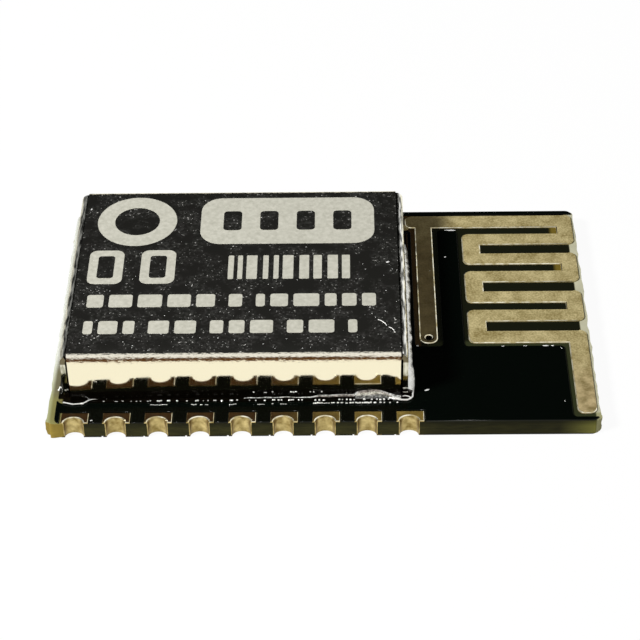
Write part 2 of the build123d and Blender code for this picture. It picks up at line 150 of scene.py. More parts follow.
right_wall = between(tree, along_x, 0.34, 0.42)
left_wall = between(tree, along_x, -0.30, -0.38)
with_right = blend(tree, right_wall, bands.outputs["Color"], "FFFFFC")
with_left = blend(tree, left_wall, with_right, "B0B0AC")
path = add_node(tree, "ShaderNodeLightPath")
strength = between(tree, path.outputs["Is Glossy Ray"], 0.0, 1.0, 0.30, 0.9)
room_light = add_node(tree, "ShaderNodeBackground", {"Color": with_left, "Strength": strength})
backdrop = add_node(tree, "ShaderNodeBackground", {"Color": colour("FFFFFF"), "Strength": 1.0})
in_view = path.outputs["Is Camera Ray"]
both = add_node(tree, "ShaderNodeMixShader", {0: in_view, 1: room_light.outputs[0], 2: backdrop.outputs[0]})
add_node(tree, "ShaderNodeOutputWorld", {"Surface": both.outputs[0]})

lamp_data = bpy.data.lights.new("soft_lamp", "AREA")
lamp_data.shape = "DISK"
lamp_data.size = 0.045
lamp_data.energy = 0.59
lamp = bpy.data.objects.new("soft_lamp", lamp_data)
lamp_place = Vector((-132 * MM, -66 * MM, 136 * MM))
lamp.matrix_world = Matrix.Translation(lamp_place) @ lamp_place.to_track_quat("Z", "Y").to_matrix().to_4x4()
bpy.context.collection.objects.link(lamp)


# Board: glass cloth and epoxy laminate, 0.6 mm thick, with half holes drilled along both long
# edges. The short ends are snapped off the panel and stay rough and pale.
def new_material(name, even_values=()):
    """A material with its shader, whose even values are set, and its object coordinates."""
    made = bpy.data.materials.new(name)
    made.use_nodes = True
    tree = made.node_tree
    shader = tree.nodes["Principled BSDF"]
    for socket, value in dict(even_values).items():
        shader.inputs[socket].default_value = value
    place = add_node(tree, "ShaderNodeTexCoord").outputs["Object"]
    return made, tree, shader, place


def mottle(tree, place, scale, detail=3.0, stretch=(1, 1, 1)):
    """Noise on the object's own coordinates, stretched by lower numbers."""
    stretched = add_node(tree, "ShaderNodeMapping", {"Vector": place, "Scale": stretch}).outputs[0]
    inputs = {"Vector": stretched, "Scale": scale, "Detail": detail}
    return add_node(tree, "ShaderNodeTexNoise", inputs).outputs["Fac"]


def roughen(tree, shader, height, strength, distance):
    bump = add_node(tree, "ShaderNodeBump", {"Height": height, "Strength": strength, "Distance": distance})
    tree.links.new(bump.outputs[0], shader.inputs["Normal"])


def paint(tree, shader, share, first, second):
    """Give a shader two colours, blended by a share, as its base colour."""
    mixed_colour = blend(tree, share, first, second)
    tree.links.new(mixed_colour, shader.inputs["Base Color"])


def node_shape(name):
    """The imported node's shape as whole faces, for a piece that takes its place."""
    shape = bmesh.new()
    shape.from_mesh(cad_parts[name].data)
    bmesh.ops.remove_doubles(shape, verts=shape.verts, dist=0.0005 * MM)
    bmesh.ops.dissolve_limit(shape, angle_limit=math.radians(0.5), verts=shape.verts, edges=shape.edges)
    return shape


def finish_piece(shape, name, materials, slot, *replaced):
    """Make a piece of the module from its shape. It rides on the module's one body."""
    mesh = bpy.data.meshes.new(name)
    shape.to_mesh(mesh)
    shape.free()
    for material in materials:
        mesh.materials.append(material)
    piece = bpy.data.objects.new(name, mesh)
    bpy.context.collection.objects.link(piece)
    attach(piece, "root")
    if replaced:
        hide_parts(*replaced)
    return piece


def give_material(material, *names):
    for name in names:
        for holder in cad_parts[name].material_slots:
            holder.material = material


near_end = 9.85 * MM
near_front = -6.1 * MM


def round_front_corners(shape):
    """Round the upright front corners of a board or film, the left one more than the right one."""
    for side, radius in ((-1, 0.20 * MM), (1, 0.08 * MM)):
        upright = [
            edge for edge in shape.edges
            if all(end.co.x * side > near_end and end.co.y < near_front for end in edge.verts)
            and abs(edge.verts[0].co.z - edge.verts[1].co.z) > 0.03 * MM
        ]
        bmesh.ops.bevel(
            shape, geom=upright, offset=radius, affect="EDGES", segments=4, profile=0.5, material=-1
        )


def cut_faces(shape, faces, through, normal):
    """Cut some faces of a shape along a plane, and give what the cut made and left."""
    around = {item for face in faces if face.is_valid for item in (face, *face.edges, *face.verts)}
    return bmesh.ops.bisect_plane(shape, geom=list(around), plane_co=through, plane_no=normal)["geom"]


def only(kind, items):
    """The items of one kind, out of the mixed ones that a bmesh operator gives."""
    return [item for item in items if isinstance(item, kind)]


# Glass epoxy laminate, pressed and cut: dull dark olive with its glass plies as level lines, pale
# where the ends were snapped, and brown black where it was etched bare beside the antenna.
laminate, tree, shader, place = new_material(
    "glass_epoxy_laminate_cut", {"Roughness": 0.6, "Specular IOR Level": 0.07}
)
core_low, core_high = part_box("laminate_core")
along_x, along_y, along_z = add_node(tree, "ShaderNodeSeparateXYZ", {0: place}).outputs
plies = mottle(tree, place, 1500.0, 4.0, (1, 1, 6))
patches = mottle(tree, place, 900.0, 3.0)
cut_olive = blend(tree, plies, "10110A", "3E3C1C")
# Painted light and shade on the front cut face: lighter towards the right end, as a painted glow where light
# comes through the edge; darker towards its top, and darker from the pads towards the right end, as painted
# shade.
lit_share = between(tree, along_x, 8.4 * MM, 9.7 * MM)
lit_olive = blend(tree, combine(tree, "MULTIPLY", lit_share, 0.6), cut_olive, "7E7C3C")
cut_shade = combine(tree, "MULTIPLY", between(tree, along_z, 0.38 * MM, 0.62 * MM), 0.6)
shaded_cut = blend(tree, cut_shade, lit_olive, "0A0C06")
past_pads = combine(tree, "MULTIPLY", between(tree, along_x, 3.4 * MM, 4.2 * MM), 0.45)
painted_shade_share = combine(tree, "SUBTRACT", past_pads, combine(tree, "MULTIPLY", lit_share, 0.45))
cut_with_painted_shade = blend(tree, painted_shade_share, shaded_cut, "080A04")
is_face = between(tree, along_z, core_high.z - 0.006 * MM, core_high.z - 0.002 * MM)
in_front = combine(
    tree, "MULTIPLY",
    between(tree, along_y, -1.70 * MM, -1.84 * MM), between(tree, along_x, 3.8 * MM, 3.9 * MM),
)
bare_ring = blend(tree, in_front, "0D0F04", "2A2E1A")
gap_ends = combine(tree, "ABSOLUTE", combine(tree, "SUBTRACT", along_y, 3.79 * MM), 0.0)
in_gap = combine(tree, "ABSOLUTE", combine(tree, "SUBTRACT", gap_ends, 1.175 * MM), 0.0)
flux_in_gap = combine(
    tree, "MULTIPLY", between(tree, in_gap, 0.30 * MM, 0.26 * MM),
    combine(
        tree, "MULTIPLY",
        between(tree, along_x, 8.84 * MM, 8.98 * MM), between(tree, along_x, 9.28 * MM, 9.26 * MM),
    ),
)
bare_ring = blend(tree, flux_in_gap, bare_ring, "66571F")
beside_can = blend(tree, patches, "301A0A", "4C3E22")
near_can = combine(
    tree, "MULTIPLY",
    between(tree, along_x, 3.62 * MM, 3.55 * MM), between(tree, along_y, -3.0 * MM, -2.6 * MM),
)
bare_face = blend(tree, near_can, bare_ring, beside_can)
with_face = blend(tree, is_face, cut_with_painted_shade, bare_face)
at_right = between(tree, along_x, 9.70 * MM, 9.75 * MM)
behind_tip = combine(tree, "MULTIPLY", is_face, between(tree, along_y, -5.78 * MM, -5.68 * MM))
at_right_face = combine(tree, "MULTIPLY", behind_tip, between(tree, along_x, 9.56 * MM, 9.60 * MM))
right_cut = blend(tree, patches, "7C7A52", "B4B28C")
right_end = blend(tree, at_right_face, right_cut, blend(tree, patches, "94927A", "C8C6AC"))
with_right = blend(tree, combine(tree, "MAXIMUM", at_right, at_right_face), with_face, right_end)
left_cut = blend(tree, patches, "54461A", "94803A")
left_near = blend(tree, patches, "66623A", "8C8854")
left_middle = blend(tree, patches, "58543E", "767058")
left_far = blend(tree, patches, "86867E", "9E9E96")
left_face = blend(tree, between(tree, along_y, -4.9 * MM, -4.4 * MM), left_near, left_middle)
whole_left = blend(tree, between(tree, along_y, -3.3 * MM, -2.6 * MM), left_face, left_far)
# The left end's top is pale where it was snapped; within 0.1 mm of the edge, and towards the back, it is
# lighter still, as painted light coming through the cut edge.
lit_rim_tone = blend(tree, between(tree, along_y, -4.6 * MM, -2.4 * MM), "9C9E76", "CCCEC4")
left_with_lit_rim = blend(tree, between(tree, along_x, -9.76 * MM, -9.88 * MM), whole_left, lit_rim_tone)
at_left_face = between(tree, along_x, -9.37 * MM, -9.42 * MM)
left_top = blend(tree, at_left_face, with_right, left_with_lit_rim)
at_left_cut = between(tree, along_x, -9.26 * MM, -9.31 * MM)
left_front = blend(tree, at_left_cut, with_right, left_cut)
paint(tree, shader, is_face, left_front, left_top)
roughen(tree, shader, plies, 0.5, 0.03 * MM)

board = node_shape("laminate_core")
round_front_corners(board)
snap_depth = 0.12 * MM  # how far the snapped ends run in and out
for count, normal in ((40, (0, 1, 0)), (5, (0, 0, 1))):
    for row in range(1, count):
        ends = [
            face for face in board.faces
            if abs(face.normal.x) > 0.9 and abs(face.calc_center_median().x) > 9.8 * MM
        ]
        cut_faces(board, ends, core_low.lerp(core_high, row / count), normal)
for corner in board.verts:
    if abs(corner.co.x) > near_end:
        chip = 0.5 + 0.5 * noise.noise(corner.co * 2600) + 0.35 * noise.noise(corner.co * 9000)
        from_corner = max(0.0, 1 - (corner.co.y - core_low.y) / (0.35 * MM))
        stands_out = (0.62 if corner.co.x < 0 else 0.40) + 0.6 * from_corner
        corner.co.x += math.copysign(1, corner.co.x) * (stands_out - max(0.0, min(1.0, chip))) * snap_depth

# The cutter left burrs along the lower front edge, the largest at the left corner.
cut_face = [face for face in board.faces if face.normal.y < -0.9 and face.calc_center_median().y < near_front]
for column in range(200):
    made = cut_faces(board, cut_face, ((-9.85 + 0.1 * column) * MM, 0, 0), (1, 0, 0))
    cut_face = only(bmesh.types.BMFace, made)
for corner in board.verts:
    if corner.co.y < near_front and corner.co.z < core_low.z + 0.01 * MM:
        from_left = max(0.0, 1 - (corner.co.x / MM + 9.9) / 0.6)
        ragged = max(0.0, noise.noise(Vector((corner.co.x * 1300, 3.0, 0.0))))
        corner.co.y -= (0.14 * from_left + 0.10 * ragged * (1 if corner.co.x < 0 else 0.5)) * MM
finish_piece(board, "laminate_board", [laminate], "laminate", "laminate_core")


# Solder mask: a glossy black film cured on both faces, open at the antenna, at the pads and
# under the foot of the shield can. Its edges are drawn down softly, so they catch the lamp.
mask_edge = 0.022 * MM

# Black solder mask, screened and cured: deep black gloss with a slight orange peel.
black_mask, tree, shader, place = new_material(
    "black_solder_mask_cured", {"Base Color": colour("030604"), "Roughness": 0.14, "Specular IOR Level": 0.17}
)
roughen(tree, shader, mottle(tree, place, 2500.0), 0.12, 0.01 * MM)


def soften_top(shape, top, width, steps=3, chosen=lambda edge: True):
    """Round the rim of a film's upper face, or chosen edges of it, and give the new faces."""
    rim_edges = [
        edge for edge in shape.edges
        if all(abs(end.co.z - top) < 0.001 * MM for end in edge.verts)
        and edge.calc_face_angle(0) > math.radians(40)
        and chosen(edge)
    ]
    made = bmesh.ops.bevel(
        shape, geom=rim_edges, offset=width, affect="EDGES", segments=steps, profile=0.5, material=-1,
        clamp_overlap=True,
    )
    return made["faces"]


def smooth_piece(piece, angle=50):
    """Shade a piece smoothly up to an angle, with its flat faces kept flat."""
    piece.data.shade_smooth()
    piece.data.set_sharp_from_angle(angle=math.radians(angle))
    evened = piece.modifiers.new("flat_faces_stay_flat", "WEIGHTED_NORMAL")
    evened.keep_sharp = True
    evened.weight = 100


# The windows were exposed a little to the right of the drilled holes, as the etched lands were.
etch_shift = 0.06 * MM
mask = node_shape("top_solder_mask")
for corner in mask.verts:
    if corner.co.y < -5.5 * MM and -9.0 * MM < corner.co.x < 4.0 * MM:
        corner.co.x += etch_shift
soften_top(mask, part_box("top_solder_mask")[1].z, mask_edge)
smooth_piece(finish_piece(mask, "black_mask_top", [black_mask], "solder_mask", "top_solder_mask"))

under_mask = node_shape("bottom_solder_mask")
round_front_corners(under_mask)
finish_piece(under_mask, "black_mask_under", [black_mask], "solder_mask", "bottom_solder_mask")


# Gold: the pads, the antenna and the lands are copper plated with nickel and a thin gold. The
# etched edges slope, so each outline shows as a bright line where it faces the light.
etched_slope = 0.034 * MM
slope_drop = 0.017 * MM
left_etch_shift = 0.028 * MM  # the lands' left edges are etched further in
hole_knee = 0.062 * MM  # how far the plating rounds over from a half hole onto its land
hole_depth_share = 0.78  # the plating is thicker at a half hole's back, so it is less deep than wide

# Immersion gold over nickel in the drilled half holes: soft gold with a faint grain, painted
# darker brown where the hole's sides face each other, as painted shade in the hole.
gold, tree, shader, place = new_material("immersion_gold_over_nickel", {"Metallic": 0.75})
grain = mottle(tree, place, 9000.0)
bright_gold = blend(tree, between(tree, mottle(tree, place, 4500.0), 0.3, 0.7), "8C7842", "D4C28C")
facing = add_node(tree, "ShaderNodeNewGeometry").outputs["Normal"]
sideways = combine(tree, "ABSOLUTE", add_node(tree, "ShaderNodeSeparateXYZ", {0: facing}).outputs["X"], 0.0)
side_shade_share = between(tree, sideways, 0.55, 0.95, 0.0, 0.8)
paint(tree, shader, side_shade_share, bright_gold, "5A4220")
tree.links.new(between(tree, grain, 0.0, 1.0, 0.30, 0.48), shader.inputs["Roughness"])
roughen(tree, shader, grain, 0.4, 0.008 * MM)

# The same gold on the wide antenna copper: matt and finely mottled, and painted darker brown
# near the can as the can's painted shade, less so on the lit first arm.
matt_gold, tree, shader, place = new_material("immersion_gold_matt", {"Metallic": 0.3, "Roughness": 0.42})
coarse = mottle(tree, place, 1700.0, 5.0)
fine = mottle(tree, place, 14000.0, 2.0)
clean_gold = blend(tree, between(tree, combine(tree, "ADD", coarse, fine), 0.72, 1.28), "8C7C4A", "D2C390")
along_x, along_y, _ = add_node(tree, "ShaderNodeSeparateXYZ", {0: place}).outputs
stained_gold = blend(tree, between(tree, mottle(tree, place, 2600.0), 0.36, 0.64), "76643A", "CCB68A")
at_leg_end = between(tree, along_y, -2.6 * MM, -4.4 * MM, 0.0, 0.7)
whole_gold = blend(tree, at_leg_end, clean_gold, stained_gold)
can_shade_gold = blend(tree, coarse, "3A2C14", "7A6638")
can_shade_ramp = between(tree, along_x, 5.2 * MM, 4.2 * MM, 0.0, 0.8)
lit_arm = between(tree, along_y, 3.9 * MM, 4.3 * MM, 1.0, 0.72)
can_shade_share = combine(tree, "MULTIPLY", can_shade_ramp, lit_arm)
paint(tree, shader, can_shade_share, whole_gold, can_shade_gold)
roughen(tree, shader, fine, 0.3, 0.006 * MM)

# The sloping etched edges of the gold: a cream line, because the plating is smooth there.
gold_rim, tree, shader, place = new_material(
    "immersion_gold_etched_edge", {"Metallic": 1.0, "Roughness": 0.07}
)
broken_line = between(tree, mottle(tree, place, 4000.0), 0.35, 0.6)
paint(tree, shader, broken_line, "BCAE82", "FFFAE6")

# Gold under a skin of baked flux: red brown on the left pads, olive on the right ones. On the
# etched slopes that face left, the same dark gold is painted shade.
gold_flux_and_shade, tree, shader, place = new_material(
    "gold_under_baked_flux_and_painted_shade", {"Roughness": 0.3, "Specular IOR Level": 0.08}
)
stains = mottle(tree, place, 5000.0)
baked = blend(tree, stains, "1A0F05", "382610")
thin = blend(tree, stains, "463818", "7C6A34")
along_x = add_node(tree, "ShaderNodeSeparateXYZ", {0: place}).outputs["X"]
to_right = between(tree, along_x, -2.0 * MM, 2.5 * MM)
paint(tree, shader, to_right, baked, thin)

# Plated wall of a small hole: painted near black, as painted shade for the little light in it.
hole_wall, tree, shader, place = new_material("plated_hole_wall", {"Metallic": 1.0})
paint(tree, shader, mottle(tree, place, 9000.0), "0A0704", "3A2C18")

antenna = node_shape("antenna_trace")
antenna_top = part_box("antenna_trace")[1].z
upper = [
    face for face in antenna.faces
    if face.normal.z > 0.98 and face.calc_center_median().z > antenna_top - 1e-6
]
via_low, via_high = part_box("antenna_via")
via_middle = (via_low + via_high) / 2
rim = bmesh.ops.inset_region(antenna, faces=upper, thickness=etched_slope, use_even_offset=True)["faces"]
outline = {corner for face in rim for corner in face.verts}
outline -= {corner for face in upper for corner in face.verts}
sloped = [
    corner for corner in outline
    if (corner.co - via_middle).xy.length > 0.23 * MM and (corner.co.x < 9.45 * MM or corner.co.y < -5.3 * MM)
]
bmesh.ops.translate(antenna, vec=(0, 0, -slope_drop), verts=sloped)
for face in rim:
    by_via = (face.calc_center_median() - via_middle).xy.length < 0.24 * MM
    at_board_end = face.calc_center_median().x > 9.4 * MM and face.calc_center_median().y > -5.4 * MM
    face.material_index = 0 if by_via or at_board_end else 1
antenna_finishes = [matt_gold, gold_rim]
smooth_piece(finish_piece(antenna, "antenna_meander", antenna_finishes, "gold_plate", "antenna_trace"), 20)

# The plated via: a barrel that fills most of the drilled hole and flares out onto the antenna.
barrel = bmesh.new()
section = ((0.195, 0.02), (0.195, 0.702), (0.168, 0.702), (0.128, 0.680), (0.105, 0.620), (0.105, 0.02))
points = [barrel.verts.new((via_middle.x + out * MM, via_middle.y, height * MM)) for out, height in section]
loop = [barrel.edges.new(pair) for pair in zip(points, points[1:] + points[:1])]
bmesh.ops.spin(
    barrel, geom=loop, cent=via_middle, axis=(0, 0, 1), angle=2 * math.pi, steps=40,
    use_merge=True, use_duplicate=False,
)
bmesh.ops.recalc_face_normals(barrel, faces=barrel.faces)
for face in barrel.faces:
    if face.calc_center_median().z > 0.66 * MM and 0 < face.normal.z < 0.98:
        face.material_index = 1
smooth_piece(finish_piece(barrel, "via_barrel", [hole_wall, gold_rim], "gold_plate", "antenna_via"), 30)

hole_radius = 0.34 * MM
pad_names = [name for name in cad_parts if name.startswith(("front_pad_", "back_pad_"))]
for name in sorted(pad_names):
    pad = node_shape(name)
    pad_low, pad_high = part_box(name)
    edge_y = max(pad_low.y, pad_high.y, key=abs)
    hole = Vector(((pad_low.x + pad_high.x) / 2, edge_y, pad_high.z))

    def at_hole(edge):
        return all((end.co - hole).length < hole_radius + 0.01 * MM for end in edge.verts)

    for corner in pad.verts:
        if (corner.co - hole).xy.length < hole_radius + 0.01 * MM:
            corner.co.y = edge_y + (corner.co.y - edge_y) * hole_depth_share
        elif name.startswith("front") and corner.co.x > hole.x + 0.45 * MM:
            corner.co.x += etch_shift
    cut_ends = [
        face for face in pad.faces
        if abs(face.normal.y) > 0.9 and abs(face.calc_center_median().y - edge_y) < 1e-6
    ]
    foot_top = pad_low.z + 0.06 * MM
    cut_faces(pad, cut_ends, (0, 0, foot_top), (0, 0, 1))
    for face in pad.faces:
        middle = face.calc_center_median()
        on_land = face.normal.z > 0.98 and middle.z > pad_high.z - 0.01 * MM
        if on_land or (abs(face.normal.y) > 0.9 and middle.z < foot_top):
            face.material_index = 2
    for face in soften_top(pad, pad_high.z, hole_knee, 2, at_hole):
        face.material_index = 1 if face.normal.z > 0.6 else 0
    rims = soften_top(pad, pad_high.z, etched_slope, 1)
    # The slopes that face left, and those far back from the board's edge, take the dark fluxed gold; on the
    # left-facing ones it is painted shade, as they face away from the light.
    for face in rims:
        middle = face.calc_center_median()
        inner = abs(middle.y) < abs(edge_y) - 0.45 * MM and name != "front_pad_8"
        on_left_foot = abs(face.normal.y) > 0.5 and middle.x < hole.x
        face.material_index = 2 if inner or face.normal.x < -0.3 else 0 if on_left_foot else 1
    for corner in {corner for face in rims for corner in face.verts}:
        corner.co.z = (corner.co.z + pad_high.z) / 2  # the slopes fall half as far as they run in
        if name.startswith("front") and corner.co.x < hole.x - 0.42 * MM:
            corner.co.x += left_etch_shift
    castellation = name.replace("pad", "castellation")
    smooth_piece(finish_piece(pad, castellation, [gold, gold_rim, gold_flux_and_shade], "gold_plate", name), 24)
give_material(gold, "rf_feed_line", "component_lands", "crystal_terminals")


# Copper that stays covered: the ground foil under the mask, and the plugs of plated copper that
# join the two faces.

# Rolled copper foil, etched: warm bare metal, hardly shiny.
copper, tree, shader, place = new_material("etched_copper_foil", {"Metallic": 1.0, "Roughness": 0.45})
paint(tree, shader, mottle(tree, place, 1500.0), "B4643C", "D08458")
give_material(copper, "ground_foil", "ground_vias")


# Parts under the can: radio chip, crystal, capacitors, inductors and resistors, all soldered
# before the can goes on. The closed can hides them.
hidden_finishes = {
    "moulded_black_epoxy": ("161617", "26262A", 0.0, 0.6, ["radio_chip"]),
    "matt_tin_plate": ("B4B4B0", "C8C8C4", 1.0, 0.4, [
        "radio_chip_leads", "radio_chip_pad", "capacitor_ends", "inductor_ends", "resistor_ends",
        "component_solder",
    ]),
    "fired_dark_ceramic": ("3C3631", "4A433C", 0.0, 0.7, ["crystal_case"]),
    "nickel_plated_lid": ("BDBAB0", "CECBC2", 1.0, 0.25, ["crystal_lid"]),
    "fired_tan_ceramic": ("8A6A4C", "A58566", 0.0, 0.6, [f"capacitor_{n}" for n in range(1, 7)]),
    "fired_pale_ceramic": ("C4C6C0", "DADBD6", 0.0, 0.5, ["inductor_1", "inductor_2"]),
    "glazed_black_film": ("0C0C0E", "1A1A1C", 0.0, 0.3, [f"resistor_{n}" for n in range(1, 4)]),
}
for name, (dark, light, metallic, roughness, nodes) in hidden_finishes.items():
    finish, tree, shader, place = new_material(name, {"Metallic": metallic, "Roughness": roughness})
    paint(tree, shader, mottle(tree, place, 6000.0), dark, light)
    give_material(finish, *nodes)


# Shield can: one blank of bright plated sheet, its four walls folded down round a flat top. The
# folds end at the top's corners, so the walls meet in open upright slits.
can_low, can_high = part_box("shield_can")
can_sheet = 0.18 * MM
can_bend = 0.27 * MM
can_middle = (can_low + can_high) / 2
flat_length = can_high.x - can_low.x - 2 * can_bend
flat_depth = can_high.y - can_low.y - 2 * can_bend
wall_drop = can_high.z - can_low.z - can_bend
bend_steps = 8

# Tin plated nickel silver sheet, rolled bright: a clear and slightly wavy mirror.
can_metal, tree, shader, place = new_material(
    "bright_plated_can_sheet", {"Metallic": 1.0, "Base Color": colour("F7F2E4")}
)
waves = mottle(tree, place, 1800.0)
tree.links.new(between(tree, waves, 0.3, 0.7, 0.05, 0.09), shader.inputs["Roughness"])
roughen(tree, shader, waves, 0.10, 0.01 * MM)

# The same sheet on the can's flat top, which lies open to the air: a cloudy bloom and fine dust.
top_metal, tree, shader, place = new_material("dusty_plated_can_top", {"Base Color": colour("F4F2EC")})
clouds = between(tree, mottle(tree, place, 1700.0, 5.0), 0.42, 0.70)
grain = between(tree, mottle(tree, place, 8000.0, 3.0), 0.40, 0.75)
haze = combine(tree, "MULTIPLY", clouds, grain)
dust_share = combine(tree, "MULTIPLY", between(tree, mottle(tree, place, 11000.0, 2.0), 0.64, 0.72), clouds)
bloom = between(tree, haze, 0.0, 1.0, 0.994, 0.94)
dusted = combine(tree, "MULTIPLY", dust_share, 0.6)
tree.links.new(combine(tree, "SUBTRACT", bloom, dusted), shader.inputs["Metallic"])
tree.links.new(between(tree, dust_share, 0.0, 1.0, 0.06, 0.45), shader.inputs["Roughness"])
roughen(tree, shader, grain, 0.05, 0.004 * MM)

# The same sheet where it is stretched round the long folds: grained, so its lines are broken.
bend_metal, tree, shader, place = new_material(
    "stretched_plated_fold", {"Metallic": 1.0, "Base Color": colour("F6F0E2")}
)
stretch_grain = mottle(tree, place, 11000.0, 4.0, (0.6, 1, 1))
tree.links.new(between(tree, stretch_grain, 0.3, 0.7, 0.05, 0.20), shader.inputs["Roughness"])
roughen(tree, shader, stretch_grain, 1.0, 0.024 * MM)

# The same sheet folded down at the short sides and drawn along the die: streaky and glittering.
# The left fold is painted darker and the right one lighter, as painted shade and light, and the
# start of each side fold is painted dark, as a painted reflection like the top's dark one.
fold_metal, tree, shader, place = new_material("scuffed_plated_fold", {"Metallic": 1.0})
scuffs = mottle(tree, place, 12000.0, 4.0, (1, 0.3, 1))
streaks = mottle(tree, place, 14000.0, 3.0, (1, 0.12, 0.6))
along_x, along_y, _ = add_node(tree, "ShaderNodeSeparateXYZ", {0: place}).outputs
across = combine(tree, "ABSOLUTE", combine(tree, "SUBTRACT", along_x, can_middle.x), 0.0)
from_top = combine(tree, "SUBTRACT", across, flat_length / 2)
front_fold = can_middle.y - flat_depth / 2
at_front = between(tree, along_y, front_fold + 0.02 * MM, front_fold - 0.02 * MM)
on_right = between(tree, along_x, -1 * MM, 1 * MM)
dark_start_end = between(tree, on_right, 0.0, 1.0, 0.05 * MM, 0.12 * MM)
past_dark_start = combine(tree, "SUBTRACT", from_top, dark_start_end)
fold_share = combine(tree, "MAXIMUM", between(tree, past_dark_start, -0.02 * MM, 0.02 * MM), at_front)
streak_share = between(tree, streaks, 0.42, 0.56)
left_streaks_in_shade = blend(tree, streak_share, "282826", "C8C8C4")
streaks_shaded_and_lit = blend(tree, on_right, left_streaks_in_shade, blend(tree, streak_share, "686864", "FFFFFC"))
painted_dark_start = blend(tree, between(tree, streaks, 0.40, 0.60), "2C2C2A", "9A9A96")
paint(tree, shader, fold_share, painted_dark_start, streaks_shaded_and_lit)
tree.links.new(between(tree, scuffs, 0.3, 0.7, 0.04, 0.16), shader.inputs["Roughness"])
roughen(tree, shader, scuffs, 0.7, 0.018 * MM)

# The sheet's sheared ends beside the front wall: dull where the fold stretched them, bright below.
sheared_edge, tree, shader, place = new_material("sheared_sheet_edge", {"Metallic": 1.0, "Roughness": 0.08})
shear_marks = mottle(tree, place, 9000.0, 3.0, (1, 1, 0.25))
dull = blend(tree, shear_marks, "4E4838", "847C6A")
bright = blend(tree, between(tree, shear_marks, 0.4, 0.6), "A6A69A", "E0E0DC")
height = add_node(tree, "ShaderNodeSeparateXYZ", {0: place}).outputs["Z"]
below_fold = between(tree, height, can_high.z - 0.36 * MM, can_high.z - 0.42 * MM)
paint(tree, shader, below_fold, dull, bright)

# Flux baked on by the soldering: a black brown glaze over the can's foot, tin and gold. Over the
# land at the left corner it is thin, and the laminate's olive shows through. On the front wall's
# foot the glaze also stands for painted shade and a painted dark reflection of the black mask.
flux_glaze_and_shade, tree, shader, place = new_material(
    "baked_flux_glaze_and_painted_shade", {"Roughness": 0.18, "Specular IOR Level": 0.2}
)
glaze = blend(tree, mottle(tree, place, 4000.0), "030201", "0C0905")
along_x, along_y, _ = add_node(tree, "ShaderNodeSeparateXYZ", {0: place}).outputs
at_corner = combine(
    tree, "MULTIPLY",
    between(tree, along_x, -9.40 * MM, -9.46 * MM), between(tree, along_y, -4.86 * MM, -4.92 * MM),
)
paint(tree, shader, at_corner, glaze, "6E6840")
roughen(tree, shader, mottle(tree, place, 5000.0), 0.4, 0.01 * MM)

can = bmesh.new()
bmesh.ops.create_grid(can, x_segments=24, y_segments=18, size=0.5)
bmesh.ops.scale(can, vec=(flat_length, flat_depth, 1), verts=can.verts)
bmesh.ops.translate(can, vec=(can_middle.x, can_middle.y, can_high.z), verts=can.verts)
rim_edges = [edge for edge in can.edges if edge.is_boundary]
for outward in (Vector((0, -1, 0)), Vector((1, 0, 0)), Vector((0, 1, 0)), Vector((-1, 0, 0))):
    reach = abs(Vector((flat_length, flat_depth, 0)).dot(outward)) / 2
    fold = [
        edge for edge in rim_edges
        if all((end.co - can_middle).dot(outward) > reach - 1e-7 for end in edge.verts)
    ]
    hinge = can_middle + outward * reach
    hinge.z = can_high.z - can_bend
    spun = bmesh.ops.spin(
        can, geom=fold, cent=hinge, axis=outward.cross(Vector((0, 0, 1))) * -1, angle=math.pi / 2,
        steps=bend_steps, use_duplicate=False,
    )
    foot = bmesh.ops.extrude_edge_only(can, edges=only(bmesh.types.BMEdge, spun["geom_last"]))
    bmesh.ops.translate(can, vec=(0, 0, -wall_drop), verts=only(bmesh.types.BMVert, foot["geom"]))
bmesh.ops.recalc_face_normals(can, faces=can.faces)

# The front wall leans out a little at the foot of its left end, and its ends are cut back. The
# side walls reach past the fold line, nearly to the front wall's face, and round down there.
lean = 0.09 * MM
cut_back = {-1: 0.065 * MM, 1: 0.02 * MM}
side_reach = 0.16 * MM
for corner in can.verts:
    side = math.copysign(1, corner.co.x - can_middle.x)
    past_fold = abs(corner.co.x - can_middle.x) - flat_length / 2
    if past_fold > 0.001 * MM and abs(corner.co.y - front_fold) < 0.001 * MM:
        corner.co.y -= side_reach * min(1.0, 3 * past_fold / can_bend)
        if past_fold > 0.4 * can_bend and corner.co.z > can_high.z - can_bend:
            corner.co.z -= 0.04 * MM
    if corner.co.y < can_middle.y - flat_depth / 2 - 0.01 * MM:
        drop = (can_high.z - corner.co.z) / (wall_drop + can_bend)
        if abs(corner.co.x - can_middle.x) > flat_length / 2 - 0.01 * MM:
            corner.co.x -= side * cut_back[side] * min(1.0, 0.3 + 3 * drop)
        if corner.co.y < can_low.y + 0.05 * MM:
            from_left = (corner.co.x - can_low.x) / flat_length
            corner.co.y -= lean * drop * max(0.0, 1 - from_left * 2.2) ** 2
bmesh.ops.solidify(can, geom=can.faces, thickness=can_sheet)
# The front wall's lower 0.4 mm takes the black glaze: flux, and painted shade and a painted dark reflection
# of the black mask at the wall's foot.
foot_glaze_and_shade_top = can_low.z + 0.40 * MM
front_wall = [
    face for face in can.faces
    if face.normal.y < -0.9 and face.calc_center_median().z < can_high.z - can_bend
]
cut_faces(can, front_wall, (0, 0, foot_glaze_and_shade_top), (0, 0, 1))
for face in can.faces:
    middle = face.calc_center_median()
    at_side = abs(middle.x - can_middle.x) > flat_length / 2 + 0.001 * MM
    if at_side and face.normal.y < -0.7:
        face.material_index = 4
    elif at_side and abs(face.normal.y) < 0.9:
        face.material_index = 2
    elif middle.z > can_high.z - 0.001 * MM:
        face.material_index = 3
    elif abs(middle.y - can_middle.y) > flat_depth / 2 + 0.001 * MM and middle.z > can_high.z - can_bend:
        face.material_index = 1
    elif face.normal.y < -0.9 and middle.y < front_fold and middle.z < foot_glaze_and_shade_top:
        face.material_index = 5
